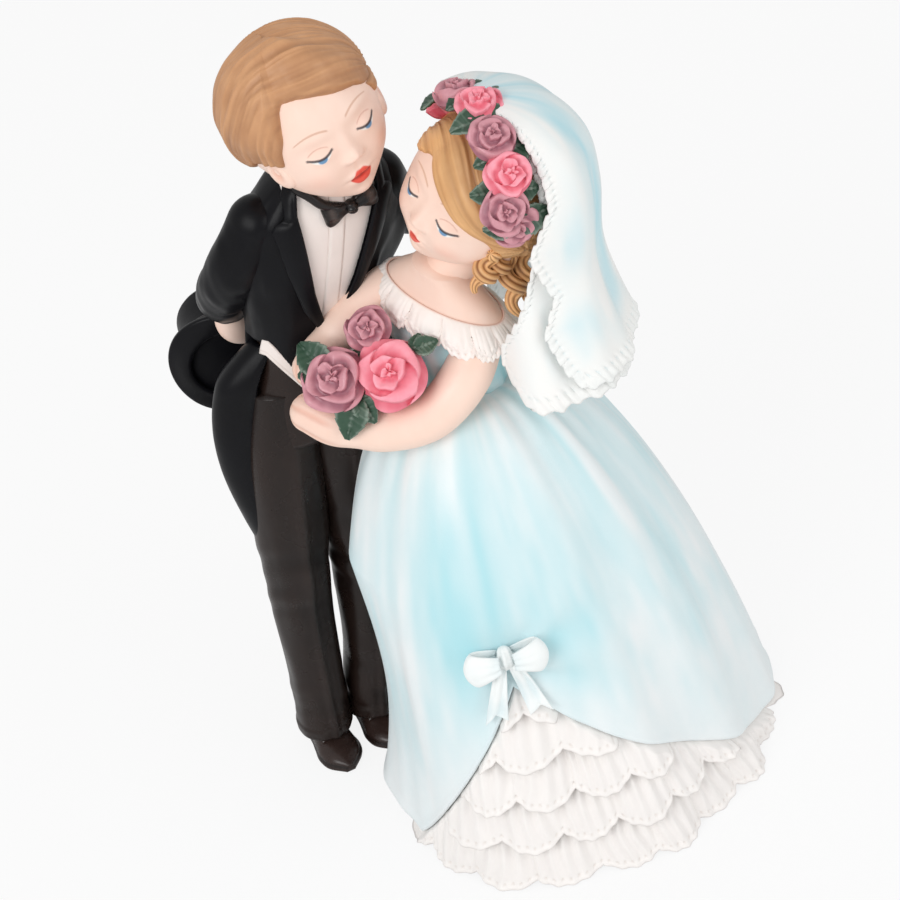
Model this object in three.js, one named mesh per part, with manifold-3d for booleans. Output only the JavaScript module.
// Wedding cake topper: a cast, hand-painted groom and bride standing close together.
// Each figure is put together from its own castings, in millimetres, with +Z up and fronts facing -Y.
import * as THREE from "three";
import { mergeVertices } from "three/addons/utils/BufferGeometryUtils.js";
import loadManifold from "manifold-3d";

// Clearance left between castings that seat on each other
const SEAT_GAP = 0.3;

// Facets finer than this are merged after the cuts
const MESH_TOLERANCE = 0.02;

// Where the two figures stand and which way they face, in degrees from -Y
const GROOM_X = -28;
const GROOM_Y = -11;
const GROOM_TURN = 22;
const BRIDE_X = 15.2;
const BRIDE_Y = -16.8;
const BRIDE_TURN = -38;

// Groom, from the floor up
const SHOE_LENGTH = 16;
const SHOE_WIDTH = 8.2;
const SHOE_HEIGHT = 5.6;
const SHOE_TURN = -2;
const STANCE = 10.2;
const LEG_LENGTH = 78;
const CUFF_WIDTH = 10;
const KNEE_WIDTH = 12;
const THIGH_WIDTH = 14.2;
const HIP_WIDTH = 22;
const HIP_LEAN = 5;
const COAT_HEIGHT = 42;
const COAT_WAIST = 21.5;
const COAT_CHEST = 27;
const COAT_DEPTH = 17;
const COAT_LEAN = 9.6;
const COAT_STOOP = 4.4;
const LAPEL_THICKNESS = 0.9;
const WAISTCOAT_DROP = 1.8;
const TAIL_LENGTH = 48;
const TAIL_THICKNESS = 1.7;
const TAIL_FLARE = 8;
const SLEEVE_LENGTH = 28;
const SLEEVE_WIDTH = 9.8;
const WRIST_WIDTH = 7.8;
const HAND_LENGTH = 8.5;
const BOW_TIE_WIDTH = 8.6;
const BOW_TIE_HEIGHT = 3.8;
const GROOM_NECK = 9.4;
const GROOM_NECK_LENGTH = 11.8;
const GROOM_HEAD_WIDTH = 23;
const GROOM_HEAD_DEPTH = 24;
const GROOM_HEAD_HEIGHT = 26;
const GROOM_HAIR = 2.2;
const HAT_WIDTH = 15;
const HAT_HEIGHT = 14;
const HAT_BRIM = 21;
const HAT_BRIM_THICKNESS = 1.3;
const HAT_BAND_HEIGHT = 3.2;
const HAT_BAND_THICKNESS = 0.8;

// Bride, from the floor up
const SKIRT_HEIGHT = 86;
const HEM_LENGTH = 85.6;
const HEM_WIDTH = 74;
const WAIST_WIDTH = 17;
const SKIRT_LEAN_SIDE = -7.7;
const SKIRT_LEAN_FRONT = -7.5;
const SKIRT_WALL = 2;
const SKIRT_TUCK = 7.8;
const SKIRT_FOLDS = 9;
const SKIRT_FOLD_DEPTH = 0.9;
const SPLIT_HEIGHT = 42;
const HEM_REST = 0.6;
const FLOUNCE_COUNT = 5;
const FLOUNCE_TUCK = 2;
const FLOUNCE_THICKNESS = 2.2;
const SCALLOP_WIDTH = 11;
const SCALLOP_DEPTH = 1.8;
const BODICE_HEIGHT = 15;
const BUST_WIDTH = 15.6;
const BUST_DEPTH = 14.5;
const BUST_HEIGHT = 8;
const SHOULDER_WIDTH = 21;
const SHOULDER_DEPTH = 10.5;
const SHOULDER_SLOPE = 0.33;
const BRIDE_NECK = 8.2;
const BRIDE_NECK_LENGTH = 9;
const BRIDE_HEAD_WIDTH = 22.5;
const BRIDE_HEAD_DEPTH = 23.5;
const BRIDE_HEAD_HEIGHT = 26;
const BRIDE_HAIR = 2;
const ARM_LENGTH = 34;
const ARM_WIDTH = 8.6;
const BRIDE_WRIST = 6.4;
const RUFFLE_HEIGHT = 4.2;
const RUFFLE_THICKNESS = 1.3;
const RUFFLE_SCALLOPS = 13;
const VEIL_HEIGHT = 49.4;
const VEIL_DOME = 17.8;
const VEIL_BACK = 65;
const VEIL_THICKNESS = 1.3;
const VEIL_FLARE = 5;
const VEIL_TUCK = 0.42;
const RINGLET_LENGTH = 11.5;
const RINGLET_WIDTH = 4.2;
const WREATH_ROSE = 6.8;
const WREATH_TURNS = [16, 36, 55, 78, 104, 130, 158];
const WREATH_TILT = 20;
const WREATH_YAW = -16;
const BOUQUET_ROSE = 11;
const LEAF_LENGTH = 6;
const LEAF_THICKNESS = 0.9;
const BOUQUET_LEAF = 8;
const BOW_LOOP = 6;
const BOW_TAIL = 11;
const BOW_WIDTH = 5.6;
const BOW_KNOT = 3;
const BOW_LIFT = 7;

const manifold = await loadManifold();
manifold.setup();

const { degToRad, lerp, clamp } = THREE.MathUtils;
const at = (x, y, z) => new THREE.Vector3(x, y, z);
const flat = (x, y) => new THREE.Vector2(x, y);
const toRight = at(1, 0, 0);
const toBack = at(0, 1, 0);
const toTop = at(0, 0, 1);

// Painted finishes: colour and roughness
const FINISHES = {
  skin: ["#f3cdbb", 0.55],
  groomHair: ["#a8703f", 0.6],
  brideHair: ["#c99a5e", 0.6],
  coat: ["#23252b", 0.7],
  trousers: ["#2b2022", 0.35],
  shoe: ["#33201c", 0.25],
  tie: ["#15151a", 0.25],
  linen: ["#f4f1ec", 0.6],
  gown: ["#cfe9ee", 0.65],
  petticoat: ["#f6f2ec", 0.7],
  lace: ["#f5efe8", 0.7],
  veil: ["#d9eef2", 0.65],
  pink: ["#ee8fa6", 0.55],
  mauve: ["#a9727f", 0.55],
  leaf: ["#3f5b4a", 0.55],
};

function finish(name) {
  const [color, roughness] = FINISHES[name];
  return new THREE.MeshStandardMaterial({ color, roughness, metalness: 0 });
}

// Solids from three.js geometry, and back
function toSolid(geometry) {
  geometry.deleteAttribute("normal");
  geometry.deleteAttribute("uv");
  const merged = mergeVertices(geometry, 1e-4);
  return new manifold.Manifold(new manifold.Mesh({
    numProp: 3,
    vertProperties: new Float32Array(merged.attributes.position.array),
    triVerts: new Uint32Array(merged.index.array),
  }));
}

function toMesh(name, solid, finishName) {
  const source = largest(solid.simplify(MESH_TOLERANCE)).getMesh();
  const geometry = new THREE.BufferGeometry();
  geometry.setAttribute("position", new THREE.BufferAttribute(new Float32Array(source.vertProperties), 3));
  geometry.setIndex(Array.from(source.triVerts));
  geometry.computeVertexNormals();
  const mesh = new THREE.Mesh(geometry, finish(finishName));
  mesh.name = name;
  return mesh;
}

function largest(solid) {
  return solid.decompose().reduce((kept, body) => (body.volume() > kept.volume() ? body : kept));
}

function moved(solid, matrix) {
  return solid.transform(Array.from(matrix.elements));
}

function join(...solids) {
  return solids.reduce((whole, solid) => whole.add(solid));
}

function less(solid, ...cutters) {
  return cutters.reduce((rest, cutter) => rest.subtract(cutter), solid);
}

// A skin over rings of points. A loop closes on its first ring; flat bands are capped across their width.
function skin(rings, { loop = false, band = false } = {}) {
  const count = rings[0].length;
  const points = rings.flat();
  const faces = [];
  const spans = loop ? rings.length : rings.length - 1;
  for (let i = 0; i < spans; i += 1) {
    const here = i * count;
    const next = ((i + 1) % rings.length) * count;
    for (let j = 0; j < count; j += 1) {
      const k = (j + 1) % count;
      faces.push(here + j, here + k, next + k);
      faces.push(here + j, next + k, next + j);
    }
  }
  if (!loop) {
    capRing(points, faces, 0, count, true, band);
    capRing(points, faces, (rings.length - 1) * count, count, false, band);
  }
  const geometry = new THREE.BufferGeometry().setFromPoints(points);
  geometry.setIndex(faces);
  return toSolid(geometry);
}

function capRing(points, faces, first, count, reversed, band) {
  const face = (a, b, c) => (reversed ? faces.push(a, c, b) : faces.push(a, b, c));
  if (band) {
    for (let j = 0; j + 1 < count / 2; j += 1) {
      const across = count - 1 - j;
      face(first + j, first + j + 1, first + across);
      if (across - 1 > j + 1) face(first + j + 1, first + across - 1, first + across);
    }
    return;
  }
  const middle = at(0, 0, 0);
  for (let j = 0; j < count; j += 1) middle.add(points[first + j]);
  const hub = points.push(middle.divideScalar(count)) - 1;
  for (let j = 0; j < count; j += 1) face(first + j, first + ((j + 1) % count), hub);
}

function smooth(points) {
  return new THREE.CatmullRomCurve3(points, false, "catmullrom", 0.5);
}

// Level ovals through hand-set rows {x, y, z, wide, deep}
function stack(rows, { sides = 20, steps = 10, grow = 0, power = 2 } = {}) {
  const middles = smooth(rows.map((row) => at(row.x, row.y, row.z)));
  const sizes = smooth(rows.map((row) => at(row.wide / 2, row.deep / 2, 0)));
  const rings = [];
  for (let i = 0; i <= steps; i += 1) {
    const middle = middles.getPoint(i / steps);
    const size = sizes.getPoint(i / steps);
    if (i === 0) middle.z -= grow;
    if (i === steps) middle.z += grow;
    rings.push(oval(middle, size.x + grow, size.y + grow, sides, power));
  }
  return skin(rings);
}

function oval(middle, halfWide, halfDeep, sides, power) {
  const bulge = (value) => Math.sign(value) * Math.abs(value) ** (2 / power);
  return Array.from({ length: sides }, (_, j) => {
    const angle = (j / sides) * Math.PI * 2;
    const x = middle.x + halfWide * bulge(Math.cos(angle));
    const y = middle.y + halfDeep * bulge(Math.sin(angle));
    return at(x, y, middle.z);
  });
}

// A round-ended limb along a smooth path, with a width at each of its points
function limb(points, widths, { sides = 12, steps = 10, grow = 0, relief = () => 1 } = {}) {
  const path = smooth(points);
  const sizes = smooth(widths.map((width) => at(width / 2, 0, 0)));
  const frames = path.computeFrenetFrames(steps, false);
  const stations = [];
  for (let i = 0; i <= steps; i += 1) stations.push({ i, along: 0, round: 1 });
  const ends = [degToRad(35), degToRad(65)];
  for (const angle of ends) {
    stations.unshift({ i: 0, along: -Math.sin(angle), round: Math.cos(angle) });
    stations.push({ i: steps, along: Math.sin(angle), round: Math.cos(angle) });
  }
  const rings = stations.map(({ i, along, round }) => {
    const radius = sizes.getPoint(i / steps).x + grow;
    const hub = path.getPointAt(i / steps).addScaledVector(frames.tangents[i], along * radius);
    return Array.from({ length: sides }, (_, j) => {
      const angle = (j / sides) * Math.PI * 2;
      const reach = radius * round * relief(angle, i / steps);
      return hub.clone()
        .addScaledVector(frames.normals[i], reach * Math.cos(angle))
        .addScaledVector(frames.binormals[i], reach * Math.sin(angle));
    });
  });
  return skin(rings);
}

function ball(middle, halves, { around = 16, over = 10, grow = 0 } = {}) {
  const geometry = new THREE.SphereGeometry(1, around, over);
  geometry.rotateX(Math.PI / 2);
  geometry.scale(halves.x + grow, halves.y + grow, halves.z + grow);
  geometry.translate(middle.x, middle.y, middle.z);
  return toSolid(geometry);
}

// An outline drawn from the front (x, z) or from the side (y, z), carried straight through the piece
function prism(outline, direction, from, to) {
  const shape = new THREE.Shape(outline);
  const geometry = new THREE.ExtrudeGeometry(shape, { depth: to - from, bevelEnabled: false });
  if (direction === "side") {
    geometry.applyMatrix4(new THREE.Matrix4().makeBasis(toBack, toTop, toRight));
    geometry.translate(from, 0, 0);
  } else {
    geometry.applyMatrix4(new THREE.Matrix4().makeBasis(toRight, toTop, toBack.clone().negate()));
    geometry.translate(0, to, 0);
  }
  return toSolid(geometry);
}

// A frame at a place, with its top turned to face a direction
function aimed(place, facing) {
  const frame = new THREE.Group();
  frame.position.copy(place);
  frame.quaternion.setFromUnitVectors(toTop, facing.clone().normalize());
  frame.updateMatrix();
  return frame;
}

// A rose: a bowl of overlapping petals whose lips wind inward to the heart
function rose(width, { petals = 5, turns = 1.6, sides = 12 } = {}) {
  const radius = width / 2;
  const rings = [
    roseRing(radius * 0.35, -radius * 0.45, sides, () => 1, () => 0),
    roseRing(radius * 0.8, -radius * 0.2, sides, () => 1, () => 0),
  ];
  const levels = 5;
  for (let i = 0; i < levels; i += 1) {
    const out = 1 - i / levels;
    const lobe = (angle) => 1 + 0.07 * out * Math.cos(petals * angle);
    const lip = (angle) => {
      const wind = turns * out + angle / (2 * Math.PI);
      return radius * 0.13 * (wind - Math.floor(wind)) * Math.min(1, out * 2);
    };
    rings.push(roseRing(radius * out, radius * 0.62 * Math.sqrt(1 - (out * 0.95) ** 2), sides, lobe, lip));
  }
  return skin(rings);
}

function roseRing(radius, height, sides, lobe, lip) {
  return Array.from({ length: sides }, (_, j) => {
    const angle = (j / sides) * Math.PI * 2;
    const reach = radius * lobe(angle);
    return at(reach * Math.cos(angle), reach * Math.sin(angle), height + lip(angle));
  });
}

function roseClear(width) {
  const halves = at(width * 0.54, width * 0.54, width * 0.4);
  return ball(at(0, 0, width * 0.06), halves, { around: 12, over: 6, grow: SEAT_GAP });
}

// A pointed leaf along +Y, folded up a little along its midrib
function leaf(length, thickness, grow = 0) {
  const rings = [];
  const steps = 4;
  for (let i = 0; i <= steps; i += 1) {
    const t = i / steps;
    const half = length * 0.34 * Math.sin(Math.PI * (0.08 + 0.86 * t) ** 0.8) + 0.15;
    const y = t * length + (i === 0 ? -grow : 0) + (i === steps ? grow : 0);
    const rise = half * 0.35;
    const droop = -length * 0.12 * t * t;
    rings.push([
      at(0, y, droop + grow),
      at(half + grow, y, droop + rise + grow),
      at(0, y, droop - thickness - grow),
      at(-half - grow, y, droop + rise + grow),
    ]);
  }
  return skin(rings);
}

// A head with a rounded crown, narrower jaw, nose and ears, its face toward -Y
function skull(width, depth, height, grow = 0) {
  const geometry = new THREE.SphereGeometry(1, 18, 12);
  geometry.rotateX(Math.PI / 2);
  const position = geometry.attributes.position;
  for (let i = 0; i < position.count; i += 1) {
    const low = Math.max(0, -position.getZ(i));
    const front = Math.max(0, -position.getY(i));
    const back = Math.max(0, position.getY(i));
    const x = position.getX(i) * (width / 2 + grow) * (1 - 0.3 * low ** 1.8);
    const y = position.getY(i) * (depth / 2 + grow) * (1 - 0.3 * low * back) * (1 - 0.06 * front);
    position.setXYZ(i, x, y - 0.07 * depth * low ** 2, position.getZ(i) * (height / 2 + grow));
  }
  return toSolid(geometry);
}

function faceDetails(width, depth, height, grow = 0) {
  const bump = (middle, halves) => ball(middle, halves, { around: 8, over: 5, grow });
  const nose = bump(at(0, -depth * 0.475, -height * 0.13), at(width * 0.06, depth * 0.07, height * 0.065));
  const lobe = at(width * 0.045, depth * 0.085, height * 0.11);
  const ears = [-1, 1].map((side) => bump(at(side * width * 0.485, depth * 0.05, -height * 0.1), lobe));
  return join(nose, ...ears);
}

// Groom: heights worked out from the floor up
const HIP_Z = SHOE_HEIGHT + LEG_LENGTH;
const COLLAR_Z = HIP_Z + COAT_HEIGHT;
const COAT_SPLIT = 1.5;

// A level of the coat, as a share of the way from the hips to the collar
function coatRow(share, wide, deep) {
  return {
    x: HIP_LEAN + COAT_LEAN * share,
    y: -COAT_STOOP * share,
    z: HIP_Z + COAT_HEIGHT * share,
    wide,
    deep,
  };
}

function coatBlock(grow = 0) {
  const rows = [
    coatRow(0, HIP_WIDTH + 1, COAT_DEPTH),
    coatRow(0.3, COAT_WAIST, COAT_DEPTH * 0.94),
    coatRow(0.65, COAT_CHEST, COAT_DEPTH),
    coatRow(0.86, COAT_CHEST, COAT_DEPTH * 0.94),
    coatRow(0.97, COAT_CHEST * 0.8, COAT_DEPTH * 0.8),
    coatRow(1.05, GROOM_NECK + 5, GROOM_NECK + 5),
  ];
  return stack(rows, { sides: 20, steps: 10, grow, power: 2.3 });
}

// A point on the leaning front of the coat, as seen from the front
function onFront(side, out, share) {
  return flat(HIP_LEAN + COAT_LEAN * share + side * out, HIP_Z + COAT_HEIGHT * share);
}

// The V of the shirt front, from the collar down to the coat's button
function shirtOpening(inset) {
  const outline = [
    onFront(0, 0, 0.34 + inset / 20),
    onFront(1, 3.8 - inset, 0.58),
    onFront(1, 7.4 - inset, 0.93),
    onFront(1, 6.8 - inset, 1.2),
    onFront(-1, 6.8 - inset, 1.2),
    onFront(-1, 7.4 - inset, 0.93),
    onFront(-1, 3.8 - inset, 0.58),
  ];
  return prism(outline, "front", -COAT_DEPTH - COAT_STOOP, -COAT_STOOP - inset);
}

// The front below the coat's hem, which rises from a point at the middle to a notch at each side
function belowHem(drop, back = COAT_SPLIT - drop) {
  const outline = [
    onFront(-1, HIP_WIDTH, -0.6),
    onFront(1, HIP_WIDTH, -0.6),
    onFront(1, HIP_WIDTH, 0.36),
    onFront(1, COAT_WAIST * 0.44, 0.34),
    onFront(0, 0, 0.06),
    onFront(-1, COAT_WAIST * 0.44, 0.34),
    onFront(-1, HIP_WIDTH, 0.36),
  ];
  outline.forEach((corner, i) => {
    if (i > 1) corner.y -= drop;
  });
  return prism(outline, "front", -COAT_DEPTH, back);
}

function lapel(side, grow = 0) {
  const outline = [
    onFront(side, 0.2, 0.335),
    onFront(side, 4.1, 0.58),
    onFront(side, 7.5, 0.93),
    onFront(side, 7.2, 1.06),
    onFront(side, 9 + grow, 1),
    onFront(side, 9.2 + grow, 0.92),
    onFront(side, 10.8 + grow, 0.89),
    onFront(side, 8.4 + grow, 0.7),
  ];
  const cut = prism(outline, "front", -COAT_DEPTH - COAT_STOOP, -COAT_STOOP - 1);
  return coatBlock(LAPEL_THICKNESS + grow).intersect(cut);
}

// One swallow tail: a curved panel behind the leg, from the side seam round to the back slit
function coatTail(side, grow = 0, beyond = grow) {
  const top = HIP_Z + COAT_HEIGHT * 0.3;
  const rings = [];
  const steps = 7;
  const across = 5;
  for (let i = steps; i >= 0; i -= 1) {
    const t = i / steps;
    const z = top - TAIL_LENGTH * t + (i === 0 ? grow : 0) - (i === steps ? grow : 0);
    const x = HIP_LEAN + COAT_LEAN * 0.3 * (1 - t) ** 2 - t;
    const halfWide = COAT_WAIST / 2 + TAIL_FLARE * Math.sin(Math.PI * (0.1 + 0.9 * t ** 0.75)) + t;
    const halfDeep = COAT_DEPTH / 2 + TAIL_FLARE * 0.6 * t;
    const spare = grow / halfWide;
    const seam = degToRad(lerp(96, 58, t ** 1.3)) + spare;
    const slit = degToRad(lerp(3, 30, t ** 2)) - spare;
    const outer = [];
    const inner = [];
    for (let j = 0; j <= across; j += 1) {
      const angle = lerp(slit, seam, j / across);
      const reach = (offset) => at(
        x + side * (halfWide + offset) * Math.sin(angle),
        -COAT_STOOP * 0.3 * (1 - t) + (halfDeep + offset) * Math.cos(angle),
        z,
      );
      outer.push(reach(beyond));
      inner.unshift(reach(-TAIL_THICKNESS - grow));
    }
    const ring = [...outer, ...inner];
    rings.push(side < 0 ? ring : ring.reverse());
  }
  return skin(rings, { band: true });
}

function groomNeck(frame, grow = 0) {
  const foot = at(HIP_LEAN + COAT_LEAN, -COAT_STOOP, COLLAR_Z - 5);
  const head = frame.position.clone().add(at(0, 0, -GROOM_HEAD_HEIGHT * 0.3));
  const points = [foot, foot.clone().lerp(head, 0.5), head];
  return limb(points, [GROOM_NECK, GROOM_NECK, GROOM_NECK], { sides: 14, steps: 4, grow });
}

function groomLeg(side) {
  const row = (share, spread, deep, wide) => ({
    x: HIP_LEAN * share ** 0.8 + side * spread,
    y: 1.4 * (1 - share),
    z: lerp(SHOE_HEIGHT + SEAT_GAP, HIP_Z, share),
    wide,
    deep,
  });
  const rows = [
    row(0, STANCE / 2, CUFF_WIDTH * 1.12, CUFF_WIDTH),
    row(0.25, STANCE / 2 + 1.1, CUFF_WIDTH * 1.08, CUFF_WIDTH + 0.6),
    row(0.5, KNEE_WIDTH / 2 + 0.5, KNEE_WIDTH, KNEE_WIDTH),
    row(0.82, THIGH_WIDTH / 2 - 1.2, THIGH_WIDTH, THIGH_WIDTH),
    row(1.05, HIP_WIDTH / 4 - 0.5, COAT_DEPTH - 2.4, HIP_WIDTH / 2 + 1),
  ];
  return stack(rows, { sides: 14, steps: 9, power: 2.2 });
}

// A pointed shoe, heel under the trouser cuff
function shoe() {
  const stations = [
    { t: 0, half: 0.62, high: 0.8 },
    { t: 0.06, half: 0.8, high: 1 },
    { t: 0.34, half: 0.9, high: 1 },
    { t: 0.5, half: 0.98, high: 0.78 },
    { t: 0.7, half: 1, high: 0.56 },
    { t: 0.88, half: 0.74, high: 0.44 },
    { t: 1, half: 0.22, high: 0.3 },
  ];
  const rings = stations.map(({ t, half, high }) => {
    const w = (SHOE_WIDTH / 2) * half;
    const h = SHOE_HEIGHT * high;
    const y = SHOE_LENGTH * (0.32 - t);
    const section = [flat(0.9, 0), flat(1, 0.3), flat(0.86, 0.72), flat(0.45, 1)];
    const right = section.map((corner) => at(w * corner.x, y, h * corner.y));
    const left = section.map((corner) => at(-w * corner.x, y, h * corner.y));
    return [...right, ...left.reverse()];
  });
  return skin(rings);
}

function lathe(profile, sides) {
  const geometry = new THREE.LatheGeometry(profile, sides);
  geometry.rotateX(Math.PI / 2);
  return toSolid(geometry);
}

// A top hat standing on its brim, crown up
function topHat(grow = 0) {
  const crown = HAT_WIDTH / 2 + grow;
  const brim = HAT_BRIM / 2 + grow;
  return lathe([
    flat(0, -grow),
    flat(crown, -grow),
    flat(brim, 1 - grow),
    flat(brim, 1 + HAT_BRIM_THICKNESS + grow),
    flat(crown, HAT_BRIM_THICKNESS + grow),
    flat(crown, HAT_HEIGHT * 0.5),
    flat(crown + 0.7, HAT_HEIGHT - 1 + grow),
    flat(crown - 0.4, HAT_HEIGHT + grow),
    flat(0, HAT_HEIGHT + grow),
  ], 18);
}

function hatBand() {
  const inner = HAT_WIDTH / 2 + SEAT_GAP;
  const outer = inner + HAT_BAND_THICKNESS;
  const foot = HAT_BRIM_THICKNESS + 1;
  const profile = [
    flat(inner, foot),
    flat(outer, foot),
    flat(outer, foot + HAT_BAND_HEIGHT),
    flat(inner, foot + HAT_BAND_HEIGHT),
    flat(inner, foot),
  ];
  return lathe(profile, 18);
}

function bowTie() {
  const half = BOW_TIE_WIDTH / 2;
  const wing = (side) => limb(
    [at(side * 1, 0, 0), at(side * half * 0.6, 0.1, 0), at(side * half * 0.86, 0.5, 0)],
    [BOW_TIE_HEIGHT * 0.5, BOW_TIE_HEIGHT * 0.8, BOW_TIE_HEIGHT],
    { sides: 8, steps: 3 },
  ).scale([1, 0.42, 1]);
  return join(wing(-1), wing(1), ball(at(0, -0.3, 0), at(1.5, 1.4, 1.7), { around: 8, over: 5 }));
}

// Hair cut away from the face by its hairline, seen from the side and sloping across the forehead
function hairCap(width, depth, height, thickness, { forehead, sides, sweep }) {
  const temple = sides[0];
  const nape = sides[sides.length - 1];
  const slope = new THREE.Matrix4().makeShear(0, sweep, 0, 0, 0, 0);
  const brow = [flat(-depth, -height), flat(temple.x, -height), temple, forehead, flat(-depth, forehead.y)];
  const below = [flat(temple.x - 1, -height), flat(depth, -height), flat(depth, nape.y)];
  const cheeks = [...below, ...[...sides].reverse()];
  return less(
    skull(width, depth, height, thickness),
    moved(prism(brow, "side", -width, width), slope),
    prism(cheeks, "side", -width, width),
  );
}

function groomFrame() {
  const groom = new THREE.Group();
  groom.position.set(GROOM_X, GROOM_Y, 0);
  groom.rotation.z = degToRad(GROOM_TURN);
  groom.updateMatrix();
  return groom;
}

function buildGroom(brideInWorld) {
  const groom = groomFrame();
  const brideClear = moved(brideInWorld, groom.matrix.clone().invert());

  const headFrame = new THREE.Group();
  headFrame.position.set(HIP_LEAN + COAT_LEAN - 1.3, -COAT_STOOP - 2.6, COLLAR_Z + GROOM_NECK_LENGTH);
  headFrame.rotation.set(degToRad(-4.5), degToRad(-16), degToRad(5), "ZXY");
  headFrame.updateMatrix();
  const intoHead = headFrame.matrix.clone().invert();

  const neck = groomNeck(headFrame);
  const neckClear = groomNeck(headFrame, SEAT_GAP);
  const size = [GROOM_HEAD_WIDTH, GROOM_HEAD_DEPTH, GROOM_HEAD_HEIGHT];
  const head = join(skull(...size), faceDetails(...size), moved(neck, intoHead));
  const skullClear = skull(...size, SEAT_GAP);
  const headClear = join(skullClear, faceDetails(...size, SEAT_GAP), moved(neckClear, intoHead));
  const hairline = {
    forehead: flat(-6.8, 8),
    sides: [
      flat(-3.8, 3.4),
      flat(-3.4, -3.4),
      flat(-1.2, -3.6),
      flat(-0.2, -0.4),
      flat(3.2, -1),
      flat(4.6, -8),
    ],
    sweep: -0.12,
  };
  const hair = less(hairCap(...size, GROOM_HAIR, hairline), headClear);
  headFrame.add(toMesh("groom_head", head, "skin"), toMesh("groom_hair", hair, "groomHair"));
  groom.add(headFrame);
  const headBlock = moved(join(skullClear, hair), headFrame.matrix);

  const tails = [-1, 1].map((side) => coatTail(side));
  const coat = less(
    join(less(coatBlock(), belowHem(0)), ...tails, lapel(-1), lapel(1)),
    shirtOpening(0),
    neckClear,
    headBlock,
    brideClear,
  );
  const tailsClear = join(coatTail(-1, SEAT_GAP, TAIL_FLARE), coatTail(1, SEAT_GAP, TAIL_FLARE));
  const coatClear = join(
    less(coatBlock(SEAT_GAP * 1.5), belowHem(SEAT_GAP)),
    coatTail(-1, SEAT_GAP),
    coatTail(1, SEAT_GAP),
    lapel(-1, SEAT_GAP),
    lapel(1, SEAT_GAP),
  );
  groom.add(toMesh("groom_tailcoat", coat, "coat"));

  const collar = (grow) => stack(
    [coatRow(0.9, GROOM_NECK + 3.6, GROOM_NECK + 3.6), coatRow(1.03, GROOM_NECK + 3, GROOM_NECK + 3)],
    { sides: 18, steps: 2, grow },
  );
  const linen = (grow) => join(coatBlock(grow - 0.5), collar(grow));
  const shirt = less(linen(0).intersect(shirtOpening(SEAT_GAP)), neckClear, headBlock, brideClear);
  groom.add(toMesh("groom_shirt_front", shirt, "linen"));

  const waistcoat = less(
    coatBlock(-0.4).intersect(belowHem(SEAT_GAP)),
    belowHem(WAISTCOAT_DROP, COAT_SPLIT),
    tailsClear,
    brideClear,
  );
  groom.add(toMesh("groom_waistcoat", waistcoat, "linen"));

  const legs = join(groomLeg(-1), groomLeg(1));
  const aboveWaistcoat = less(coatBlock(COAT_WAIST), belowHem(WAISTCOAT_DROP + SEAT_GAP, COAT_DEPTH))
    .trimByPlane([0, -1, 0], -COAT_SPLIT - SEAT_GAP);
  const trousers = less(legs, coatClear, tailsClear, aboveWaistcoat, brideClear);
  groom.add(toMesh("groom_trousers", trousers, "trousers"));

  for (const side of [-1, 1]) {
    const place = new THREE.Group();
    place.position.set((side * STANCE) / 2, 1.4, 0);
    place.rotation.z = degToRad(SHOE_TURN);
    place.updateMatrix();
    const shoeSolid = less(shoe(), moved(brideClear, place.matrix.clone().invert()));
    place.add(toMesh(side < 0 ? "groom_right_shoe" : "groom_left_shoe", shoeSolid, "shoe"));
    groom.add(place);
  }

  const shoulder = coatRow(0.86, 0, 0);
  const reach = COAT_CHEST / 2 - SLEEVE_WIDTH * 0.27;
  const onArm = (side, out, back, down) => at(
    shoulder.x + side * (reach + SLEEVE_LENGTH * out),
    shoulder.y + SLEEVE_LENGTH * back,
    shoulder.z - SLEEVE_LENGTH * down,
  );
  const sleeves = {
    right: [
      onArm(-1, 0, 0, 0),
      onArm(-1, 0.17, 0.09, 0.3),
      onArm(-1, 0.22, 0.32, 0.58),
      onArm(-1, 0.15, 0.48, 0.74),
      onArm(-1, 0.05, 0.52, 0.83),
    ],
    left: [
      onArm(1, 0, 0, 0),
      onArm(1, 0.18, 0.18, 0.25),
      onArm(1, 0.45, 0.29, 0.54),
      onArm(1, 0.68, 0.21, 0.71),
    ],
  };
  const wrist = sleeves.right[sleeves.right.length - 1];
  const hatPlace = wrist.clone().add(at(-HAT_BRIM * 0.18, WRIST_WIDTH * 0.52, -HAT_BRIM * 0.65));
  const hatFrame = aimed(hatPlace, at(0.3, 0.95, 0.05));
  hatFrame.add(toMesh("groom_top_hat", topHat(), "coat"), toMesh("groom_hat_band", hatBand(), "tie"));
  groom.add(hatFrame);
  const hatClear = moved(topHat(SEAT_GAP), hatFrame.matrix);

  for (const [side, path] of Object.entries(sleeves)) {
    const widths = path.map((_, i) => lerp(SLEEVE_WIDTH, WRIST_WIDTH, (i / (path.length - 1)) ** 2));
    const sleeve = less(limb(path, widths, { sides: 10, steps: 8 }), coatClear, hatClear, brideClear);
    groom.add(toMesh(`groom_${side}_sleeve`, sleeve, "coat"));
    const end = path[path.length - 1];
    const onward = end.clone().sub(path[path.length - 2]).normalize();
    const palm = end.clone().addScaledVector(onward, HAND_LENGTH * 0.47);
    const tip = end.clone().addScaledVector(onward, HAND_LENGTH);
    const handWidths = [WRIST_WIDTH * 0.7, WRIST_WIDTH * 0.8, WRIST_WIDTH * 0.62];
    const hand = less(
      limb([end, palm, tip], handWidths, { sides: 10, steps: 4 }),
      limb(path, widths, { sides: 10, steps: 8, grow: SEAT_GAP }),
      coatClear,
      hatClear,
    );
    groom.add(toMesh(`groom_${side}_hand`, hand, "skin"));
  }

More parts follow.
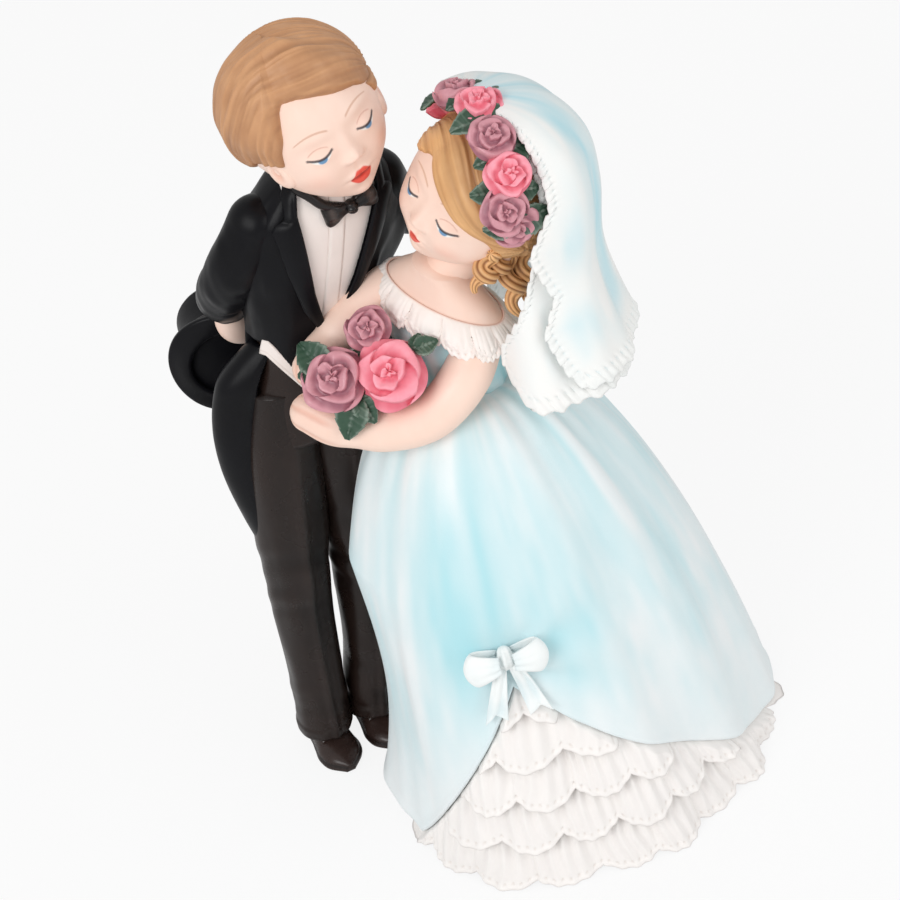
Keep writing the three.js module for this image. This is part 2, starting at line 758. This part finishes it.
  const tieFrame = new THREE.Group();
  const throat = coatRow(0.92, 0, 0);
  tieFrame.position.set(throat.x + 0.8, throat.y - COAT_DEPTH * 0.42 - 0.7, throat.z);
  tieFrame.updateMatrix();
  const behindTie = moved(join(linen(SEAT_GAP), coatClear, headBlock), tieFrame.matrix.clone().invert());
  tieFrame.add(toMesh("groom_bow_tie", less(bowTie(), behindTie), "tie"));
  groom.add(tieFrame);

  return groom;
}

// Bride: heights worked out from the floor up
const WAIST_Z = SKIRT_HEIGHT + SEAT_GAP;
const NECKLINE_Z = WAIST_Z + BODICE_HEIGHT;
const BUST_Z = NECKLINE_Z + SEAT_GAP;
const SPLIT_ANGLE = degToRad(-63);
const SPLIT_LEFT = degToRad(42);
const SKIRT_SIDES = 46;
const TUCK_ANGLE = degToRad(-160);
const SPLIT_RIGHT = degToRad(92);
const CORE_GAP = SKIRT_WALL + SEAT_GAP * 1.8;

// The bell of the skirt: its reach from the leaning middle line, by direction and height
function skirtReach(angle, z) {
  const t = clamp(z / SKIRT_HEIGHT, 0, 1);
  const spread = Math.sqrt(1 - t ** 1.25);
  const halfWide = lerp(WAIST_WIDTH / 2, HEM_WIDTH / 2, spread);
  const halfDeep = lerp(WAIST_WIDTH / 2 - 1.5, HEM_LENGTH / 2, spread);
  const ellipse = 1 / Math.hypot(Math.cos(angle) / halfWide, Math.sin(angle) / halfDeep);
  const fold = SKIRT_FOLD_DEPTH * spread * Math.cos(SKIRT_FOLDS * angle + 1.2 * Math.sin(2 * angle));
  const toGroom = Math.max(0, Math.cos(angle - TUCK_ANGLE)) ** 2;
  const tuck = SKIRT_TUCK * toGroom * Math.sin(Math.PI * clamp((t + 0.06) / 0.7, 0, 1));
  return ellipse + fold - tuck;
}

function skirtPoint(angle, z, inward) {
  const reach = skirtReach(angle, z) - inward;
  const t = z / SKIRT_HEIGHT;
  const x = SKIRT_LEAN_SIDE * t + reach * Math.cos(angle);
  const y = SKIRT_LEAN_FRONT * t + reach * Math.sin(angle);
  return at(x, y, z);
}

// The overskirt's hem climbs from the floor to the bow, steeply on one side and gently on the other
function hemHeight(angle) {
  const past = Math.atan2(Math.sin(angle - SPLIT_ANGLE), Math.cos(angle - SPLIT_ANGLE));
  const share = past < 0 ? 1 + past / SPLIT_LEFT : 1 - past / SPLIT_RIGHT;
  return lerp(HEM_REST, SPLIT_HEIGHT, Math.max(0, share) ** (past < 0 ? 1.1 : 1.4));
}

function overskirt(grow = 0) {
  const around = SKIRT_SIDES;
  const rows = 7;
  const sections = [];
  for (let i = 0; i < around; i += 1) {
    const angle = (-i / around) * Math.PI * 2;
    const low = hemHeight(angle) - grow;
    const top = SKIRT_HEIGHT - 0.01 + grow;
    const outer = [];
    const inner = [];
    for (let j = 0; j <= rows; j += 1) {
      const z = lerp(low, top, 1 - (1 - j / rows) ** 1.6);
      outer.push(skirtPoint(angle, z, -grow));
      inner.unshift(skirtPoint(angle, z, SKIRT_WALL + grow));
    }
    sections.push([...outer, ...inner]);
  }
  return skin(sections, { loop: true });
}

function petticoat() {
  const sides = SKIRT_SIDES;
  const levels = [0, 0.15, 0.34, 0.54, 0.74, 0.9, 1];
  const rings = levels.map((share) => {
    const z = share * SKIRT_HEIGHT;
    return Array.from({ length: sides }, (_, j) => skirtPoint((j / sides) * Math.PI * 2, z, CORE_GAP));
  });
  return skin(rings);
}

// One row of gathered, scalloped flounce across the open front of the overskirt
function flounce(row) {
  const pitch = (SPLIT_HEIGHT + FLOUNCE_TUCK) / FLOUNCE_COUNT;
  const foot = row * pitch;
  const head = foot + pitch - SEAT_GAP;
  const first = SPLIT_ANGLE - SPLIT_LEFT * 1.05;
  const last = SPLIT_ANGLE + SPLIT_RIGHT * 1.02;
  const middle = skirtReach(SPLIT_ANGLE, foot);
  const scallops = Math.round(((last - first) * middle) / SCALLOP_WIDTH);
  const steps = scallops * 4;
  const sections = [];
  for (let i = 0; i <= steps; i += 1) {
    const angle = lerp(first, last, i / steps);
    const wave = Math.abs(Math.sin((i / 4 + (row % 2) / 2) * Math.PI));
    const low = foot + (row > 0 ? SCALLOP_DEPTH * (1 - wave) : 0);
    const flare = FLOUNCE_THICKNESS * (0.7 + 0.5 * wave);
    const inside = CORE_GAP - SEAT_GAP;
    sections.push([
      skirtPoint(angle, low, inside),
      skirtPoint(angle, low, inside - flare),
      skirtPoint(angle, lerp(low, head, 0.35), inside - flare * 0.85),
      skirtPoint(angle, head, inside - FLOUNCE_THICKNESS * 0.45),
      skirtPoint(angle, head, inside),
      skirtPoint(angle, lerp(low, head, 0.35), inside),
    ]);
  }
  return skin(sections.reverse());
}

// A level of the upper body above the waist
function bodyRow(rise, wide, deep, forward = 0) {
  return {
    x: SKIRT_LEAN_SIDE + rise * 0.02,
    y: SKIRT_LEAN_FRONT - rise * 0.1 - forward,
    z: WAIST_Z + rise,
    wide,
    deep,
  };
}

function bodice(grow = 0) {
  const rows = [
    bodyRow(0, WAIST_WIDTH - 1, WAIST_WIDTH - 4),
    bodyRow(BODICE_HEIGHT * 0.55, BUST_WIDTH, BUST_DEPTH, 0.6),
    bodyRow(BODICE_HEIGHT, BUST_WIDTH, BUST_DEPTH * 0.86),
  ];
  return stack(rows, { sides: 20, steps: 6, grow });
}

// The shoulders slope: the one on the groom's side is higher
function shoulderLift(x) {
  return -SHOULDER_SLOPE * (x - bodyRow(BODICE_HEIGHT, 0, 0).x);
}

function bust(frame, grow = 0) {
  const rise = BODICE_HEIGHT + SEAT_GAP;
  const slope = new THREE.Matrix4().makeShear(0, -SHOULDER_SLOPE, 0, 0, 0, 0);
  slope.setPosition(0, 0, shoulderLift(0));
  const shoulders = moved(stack([
    bodyRow(rise - 1, BUST_WIDTH - 1, SHOULDER_DEPTH),
    bodyRow(rise + BUST_HEIGHT * 0.2, SHOULDER_WIDTH, SHOULDER_DEPTH),
    bodyRow(rise + BUST_HEIGHT * 0.5, SHOULDER_WIDTH * 0.86, SHOULDER_DEPTH * 0.9),
    bodyRow(rise + BUST_HEIGHT * 0.85, SHOULDER_WIDTH * 0.54, SHOULDER_DEPTH * 0.76),
    bodyRow(rise + BUST_HEIGHT, BRIDE_NECK, BRIDE_NECK),
  ], { sides: 16, steps: 6, grow }), slope);
  const foot = bodyRow(rise + BUST_HEIGHT * 0.75, 0, 0);
  const top = frame.position.clone().add(at(0, 0, -BRIDE_HEAD_HEIGHT * 0.28));
  const start = at(foot.x, foot.y + 1, foot.z);
  const path = [start, start.clone().lerp(top, 0.55), top];
  const neck = limb(path, [BRIDE_NECK, BRIDE_NECK, BRIDE_NECK], { sides: 12, steps: 4, grow });
  return join(shoulders, neck);
}

// The lace frill that runs round the chest and over the tops of the arms
function ruffle(grow = 0) {
  const around = RUFFLE_SCALLOPS * 3;
  const sections = [];
  for (let i = 0; i < around; i += 1) {
    const angle = (-i / around) * Math.PI * 2;
    const wave = Math.abs(Math.sin((i / 3) * Math.PI));
    const row = bodyRow(BODICE_HEIGHT + BUST_HEIGHT * 0.32, 0, 0);
    const point = (out, z) => {
      const x = row.x + (SHOULDER_WIDTH / 2 + out) * Math.cos(angle);
      const y = row.y + (SHOULDER_DEPTH / 2 + out) * Math.sin(angle);
      return at(x, y, row.z + z + shoulderLift(x));
    };
    const low = -RUFFLE_HEIGHT + 1.2 * (1 - wave);
    const out = 1.4 + RUFFLE_THICKNESS;
    sections.push([
      point(-0.6 - grow, 0.4 + grow),
      point(0.6 - grow, low - grow),
      point(out + 0.5 * wave + grow, low - grow),
      point(RUFFLE_THICKNESS + grow, 0.3 + grow),
    ]);
  }
  return skin(sections, { loop: true });
}

function brideArms(grow = 0) {
  const rise = BODICE_HEIGHT - 0.5;
  const shoulder = bodyRow(rise, 0, 0);
  const reach = BUST_WIDTH / 2 - 0.8;
  const onArm = (side, out, front, down) => at(
    shoulder.x + side * (reach + ARM_LENGTH * out),
    shoulder.y - ARM_LENGTH * front,
    shoulder.z - ARM_LENGTH * down,
  );
  const paths = {
    right: [
      onArm(-1, 0, -0.02, -0.05),
      onArm(-1, 0.1, 0.05, -0.07),
      onArm(-1, 0.2, 0.2, 0),
      onArm(-1, 0.27, 0.36, 0.08),
      onArm(-1, 0.3, 0.5, 0.16),
    ],
    left: [
      onArm(1, -0.03, 0.03, 0.1),
      onArm(1, -0.03, 0.19, 0.24),
      onArm(1, -0.135, 0.365, 0.38),
      onArm(1, -0.3, 0.518, 0.4),
      onArm(1, -0.5, 0.618, 0.37),
      onArm(1, -0.67, 0.635, 0.318),
    ],
  };
  const shapes = {};
  for (const [side, path] of Object.entries(paths)) {
    const widths = path.map((_, i) => lerp(ARM_WIDTH, BRIDE_WRIST, (i / (path.length - 1)) ** 1.6));
    shapes[side] = limb(path, widths, { sides: 10, steps: path.length * 2, grow });
  }
  return shapes;
}

// The veil falls from behind the wreath over the back, open toward the face
function veil(middle, grow = 0) {
  const dome = VEIL_DOME;
  const drop = VEIL_HEIGHT - dome;
  const profile = smooth([
    at(1.4, 0, dome - 1),
    at(dome * 0.62, 0, dome * 0.78),
    at(dome * 0.93, 0, dome * 0.4),
    at(dome, 0, -dome * 0.1),
    at(dome - 0.6, 0, -drop * 0.4),
    at(dome + VEIL_FLARE * 0.3, 0, -drop * 0.7),
    at(dome + VEIL_FLARE, 0, -drop),
  ]);
  const rows = 8;
  const around = 15;
  const back = degToRad(VEIL_BACK);
  const sections = [];
  for (let i = 0; i <= around; i += 1) {
    const outer = [];
    const inner = [];
    for (let j = 0; j <= rows; j += 1) {
      const t = j / rows;
      const spare = (grow / dome) * 60;
      const near = lerp(-92, -122, t ** 1.5) - spare;
      const far = lerp(80, 62, t ** 1.5) + spare;
      const swing = lerp(near, far, i / around);
      const angle = back + degToRad(swing);
      const fold = 0.8 * t * Math.cos(angle * 9);
      const spot = profile.getPoint(t);
      const edge = Math.min(1, Math.min(swing - near, far - swing) / 45);
      spot.x *= 1 - VEIL_TUCK * t * (1 - edge) ** 2;
      const place = (out) => at(
        middle.x + (spot.x + fold + out) * Math.cos(angle),
        middle.y + (spot.x + fold + out) * Math.sin(angle),
        middle.z + spot.z + out * Math.max(0, 1 - t * 3),
      );
      outer.push(place(grow));
      inner.unshift(place(-VEIL_THICKNESS - grow));
    }
    sections.push([...outer, ...inner]);
  }
  return skin(sections, { band: true });
}

// Everything inside the bell, with the arms: the space that the groom's clothes keep clear of
function brideSpace(grow) {
  const rings = [];
  const levels = 12;
  for (let i = 0; i <= levels; i += 1) {
    const z = (SKIRT_HEIGHT * i) / levels;
    const turn = (Math.PI * 2) / SKIRT_SIDES;
    const ring = Array.from({ length: SKIRT_SIDES }, (_, j) => skirtPoint(j * turn, z, -grow));
    if (i === 0) ring.forEach((point) => point.setZ(-1));
    rings.push(ring);
  }
  const arms = brideArms(grow);
  return join(skin(rings), arms.right, arms.left);
}

// A frame on the overskirt: x round the figure, y up the cloth, z straight out
function onSkirt(angle, z, out) {
  const here = skirtPoint(angle, z, -out);
  const along = skirtPoint(angle + 0.02, z, -out).sub(here).normalize();
  const up = skirtPoint(angle, z + 0.5, -out).sub(here).normalize();
  const outward = along.clone().cross(up).normalize();
  const frame = new THREE.Group();
  frame.position.copy(here);
  const across = up.clone().cross(outward);
  frame.quaternion.setFromRotationMatrix(new THREE.Matrix4().makeBasis(across, up, outward));
  frame.updateMatrix();
  return frame;
}

function bowLoop(side, grow = 0) {
  const path = [
    at(side * BOW_KNOT * 0.46, 0, BOW_KNOT * 0.4),
    at(side * BOW_LOOP * 0.6, BOW_WIDTH * 0.09, BOW_KNOT * 0.66),
    at(side * BOW_LOOP * 0.85, BOW_WIDTH * 0.05, BOW_KNOT * 0.4),
  ];
  const widths = [BOW_WIDTH * 0.46, BOW_WIDTH * 0.96, BOW_WIDTH];
  return limb(path, widths, { sides: 8, steps: 3, grow }).scale([1, 1, 0.55]);
}

function bowTail(side) {
  const path = [
    at(side * BOW_TAIL * 0.11, -BOW_KNOT * 0.6, BOW_KNOT * 0.17),
    at(side * BOW_TAIL * 0.22, -BOW_TAIL * 0.5, BOW_KNOT * 0.3),
    at(side * BOW_TAIL * 0.36, -BOW_TAIL, BOW_KNOT * 0.2),
  ];
  const widths = [BOW_WIDTH * 0.36, BOW_WIDTH * 0.57, BOW_WIDTH * 0.75];
  return limb(path, widths, { sides: 8, steps: 3 }).scale([1, 1, 0.4]);
}

function ringlet(top, lean, length) {
  const below = (share) => top.clone().add(at(lean * share, 0.6 * share, -length * share));
  const twist = (angle, t) => 1 + 0.22 * Math.cos(2 * angle - t * 15);
  const widths = [RINGLET_WIDTH * 0.7, RINGLET_WIDTH, RINGLET_WIDTH * 0.5];
  return limb([top, below(0.5), below(1)], widths, { sides: 7, steps: 8, relief: twist });
}

// Roses and leaves in an arch from ear to ear, forward of the crown
function addWreath(headFrame, hair) {
  const tilt = degToRad(WREATH_TILT);
  const spot = (turn, lift) => at(
    (BRIDE_HEAD_WIDTH / 2 + lift) * Math.cos(degToRad(turn)),
    -(BRIDE_HEAD_DEPTH / 2 + lift) * Math.sin(degToRad(turn)) * Math.sin(tilt),
    (BRIDE_HEAD_HEIGHT / 2 + lift) * Math.sin(degToRad(turn)) * Math.cos(tilt),
  ).applyAxisAngle(toTop, degToRad(WREATH_YAW));
  const lift = BRIDE_HAIR + SEAT_GAP + WREATH_ROSE * 0.16;
  const colors = ["mauve", "mauve", "pink", "mauve", "pink", "mauve", "pink"];
  const blooms = [];
  WREATH_TURNS.forEach((turn, i) => {
    const frame = aimed(spot(turn, lift), spot(turn, lift));
    const bloom = less(moved(rose(WREATH_ROSE), frame.matrix), hair, ...blooms);
    headFrame.add(toMesh(`wreath_rose_${i + 1}`, bloom, colors[i]));
    blooms.push(moved(roseClear(WREATH_ROSE), frame.matrix));
  });
  const flowers = join(...blooms);
  for (let i = 0; i + 1 < WREATH_TURNS.length; i += 1) {
    const turn = (WREATH_TURNS[i] + WREATH_TURNS[i + 1]) / 2;
    const base = spot(turn, BRIDE_HAIR + SEAT_GAP + LEAF_THICKNESS + 0.6);
    const frame = aimed(base, base);
    frame.rotateZ(degToRad(i % 2 ? 165 : 5));
    frame.updateMatrix();
    const blade = less(moved(leaf(LEAF_LENGTH, LEAF_THICKNESS), frame.matrix), flowers, hair);
    headFrame.add(toMesh(`wreath_leaf_${i + 1}`, blade, "leaf"));
    blooms.push(moved(leaf(LEAF_LENGTH, LEAF_THICKNESS, SEAT_GAP), frame.matrix));
  }
  return join(...blooms);
}

// The posy held in the crook of both arms
function addBouquet(bride, clears) {
  const middle = bodyRow(BODICE_HEIGHT * 0.55, 0, 0);
  const place = (x, y, z) => at(x, y, z).multiplyScalar(BOUQUET_ROSE).add(at(middle.x, middle.y, middle.z));
  const roses = [
    { name: "bouquet_rose_1", at: place(-0.17, -1.45, 0.24), width: BOUQUET_ROSE, color: "pink" },
    { name: "bouquet_rose_2", at: place(-0.91, -1.87, 0.24), width: BOUQUET_ROSE * 0.9, color: "mauve" },
    { name: "bouquet_rose_3", at: place(-0.69, -1.15, 0.76), width: BOUQUET_ROSE * 0.72, color: "mauve" },
  ];
  const facing = at(0.35, -0.62, 0.7);
  const blooms = [];
  for (const item of roses) {
    const frame = aimed(item.at, facing);
    const bloom = less(moved(rose(item.width), frame.matrix), ...clears, ...blooms);
    bride.add(toMesh(item.name, bloom, item.color));
    blooms.push(moved(roseClear(item.width), frame.matrix));
  }
  const flowers = join(...blooms);
  const tuft = at(0.62, 0.5, 0.38).multiplyScalar(BOUQUET_ROSE);
  const stems = (grow) => ball(place(-0.55, -1.35, 0.1), tuft, { around: 12, over: 6, grow });
  bride.add(toMesh("bouquet_stems", less(stems(0), flowers, ...clears), "leaf"));

  const sprays = [
    { at: place(-1.22, -1.97, 0.3), turn: 70, length: BOUQUET_LEAF * 0.9 },
    { at: place(-0.56, -1.855, 0), turn: 190, length: BOUQUET_LEAF },
    { at: place(0.05, -1.11, 0.5), turn: -40, length: BOUQUET_LEAF * 0.6 },
  ];
  sprays.forEach((spray, i) => {
    const frame = aimed(spray.at, facing);
    frame.rotateZ(degToRad(spray.turn));
    frame.updateMatrix();
    const blade = moved(leaf(spray.length, LEAF_THICKNESS), frame.matrix);
    const trimmed = less(blade, flowers, stems(SEAT_GAP), ...clears);
    bride.add(toMesh(`bouquet_leaf_${i + 1}`, trimmed, "leaf"));
  });
}

function addSkirtBow(bride, overClear) {
  const frame = onSkirt(SPLIT_ANGLE, SPLIT_HEIGHT + BOW_LIFT, SEAT_GAP * 2);
  const skirt = moved(overClear, frame.matrix.clone().invert());
  const halves = at(BOW_KNOT * 0.5, BOW_KNOT * 0.63, BOW_KNOT * 0.47);
  const knot = (grow) => ball(at(0, 0, BOW_KNOT * 0.37), halves, { around: 10, over: 6, grow });
  const knotClear = knot(SEAT_GAP);
  frame.add(toMesh("skirt_bow_knot", less(knot(0), skirt), "lace"));
  for (const side of [-1, 1]) {
    const hand = side < 0 ? "right" : "left";
    const tail = less(bowTail(side), knotClear, skirt, bowLoop(side, SEAT_GAP));
    frame.add(toMesh(`skirt_bow_${hand}_loop`, less(bowLoop(side), knotClear, skirt), "lace"));
    frame.add(toMesh(`skirt_bow_${hand}_tail`, tail, "lace"));
  }
  bride.add(frame);
}

function brideFrame() {
  const bride = new THREE.Group();
  bride.position.set(BRIDE_X, BRIDE_Y, 0);
  bride.rotation.z = degToRad(BRIDE_TURN);
  bride.updateMatrix();
  return bride;
}

function buildBride() {
  const bride = brideFrame();

  const headFrame = new THREE.Group();
  const throat = bodyRow(BODICE_HEIGHT + BUST_HEIGHT, 0, 0);
  headFrame.position.set(throat.x + 6, throat.y + 5.6, throat.z + BRIDE_NECK_LENGTH + 3.9);
  headFrame.rotation.set(degToRad(-17), degToRad(30), degToRad(-12), "ZXY");
  headFrame.updateMatrix();
  const intoHead = headFrame.matrix.clone().invert();

  bride.add(toMesh("petticoat", petticoat(), "petticoat"));
  const over = overskirt();
  const overClear = overskirt(SEAT_GAP);
  for (let row = 0; row < FLOUNCE_COUNT; row += 1) {
    const tier = less(flounce(row), overskirt(SEAT_GAP * 1.4));
    bride.add(toMesh(`petticoat_flounce_${row + 1}`, tier, "petticoat"));
  }
  bride.add(toMesh("overskirt", over, "gown"));

  const size = [BRIDE_HEAD_WIDTH, BRIDE_HEAD_DEPTH, BRIDE_HEAD_HEIGHT];
  const neckClear = moved(bust(headFrame, SEAT_GAP), intoHead);
  const face = join(skull(...size), faceDetails(...size));
  const head = less(face, neckClear);
  const headClear = join(skull(...size, SEAT_GAP), faceDetails(...size, SEAT_GAP));
  const hairline = {
    forehead: flat(-6.6, 8),
    sides: [flat(-3, 3.2), flat(-0.6, -2.8), flat(2.2, -5.8), flat(5.5, -8.8)],
    sweep: 0,
  };
  const hairOuter = hairCap(...size, BRIDE_HAIR, hairline);
  const hair = less(hairOuter, headClear, neckClear);
  const hairClear = hairCap(...size, BRIDE_HAIR + SEAT_GAP, hairline);
  headFrame.add(toMesh("bride_head", head, "skin"), toMesh("bride_hair", hair, "brideHair"));
  bride.add(headFrame);

  const bodiceClear = bodice(SEAT_GAP);
  const bustSolid = less(bust(headFrame), bodiceClear);
  const bustClear = bust(headFrame, SEAT_GAP);
  bride.add(toMesh("bride_bust", bustSolid, "skin"));
  bride.add(toMesh("bride_bodice", bodice(), "gown"));

  const arms = brideArms();
  const armsClear = brideArms(SEAT_GAP);
  for (const side of ["right", "left"]) {
    const arm = less(arms[side], bustClear, bodiceClear, overClear);
    bride.add(toMesh(`bride_${side}_arm`, arm, "skin"));
  }
  const frill = less(ruffle(), bustClear, bodiceClear, armsClear.right, armsClear.left);
  bride.add(toMesh("neckline_ruffle", frill, "lace"));

  const headBlock = moved(join(headClear, hairClear), headFrame.matrix);
  const wreath = moved(addWreath(headFrame, less(hairClear, headClear)), headFrame.matrix);
  const frillClear = ruffle(SEAT_GAP);
  const veilClears = [headBlock, bustClear, overClear, wreath, frillClear, armsClear.left];
  const drape = less(veil(headFrame.position), ...veilClears);
  bride.add(toMesh("bride_veil", drape, "veil"));

  const intoBride = bride.matrix.clone().invert().multiply(groomFrame().matrix);
  const coatClear = moved(coatBlock(LAPEL_THICKNESS + SEAT_GAP), intoBride);
  addBouquet(bride, [bodiceClear, bustClear, armsClear.right, armsClear.left, frillClear, coatClear]);
  addSkirtBow(bride, overClear);

  const nape = at(throat.x, throat.y, throat.z);
  const atNape = (x, y, z) => at(x, y, z).multiplyScalar(BRIDE_HEAD_WIDTH).add(nape);
  const veilClear = veil(headFrame.position, SEAT_GAP);
  const clears = [headBlock, bustClear, armsClear.left, veilClear, wreath, frillClear];
  const locks = [
    ringlet(atNape(0.533, -0.107, 0.31), -4, RINGLET_LENGTH * 0.7),
    ringlet(atNape(0.547, 0.098, 0.16), 0, RINGLET_LENGTH),
  ];
  locks.forEach((lock, i) => {
    bride.add(toMesh(`bride_ringlet_${i + 1}`, less(lock, ...clears), "brideHair"));
  });
  return bride;
}

// The whole topper, standing with the middle of its footprint at the origin
const cakeTopper = new THREE.Group();
const brideInWorld = moved(brideSpace(SEAT_GAP * 1.5), brideFrame().matrix);
cakeTopper.add(buildGroom(brideInWorld), buildBride());
const footprint = new THREE.Box3().setFromObject(cakeTopper, true).getCenter(at(0, 0, 0));
for (const figure of cakeTopper.children) figure.position.sub(footprint.setZ(0));

export default cakeTopper;
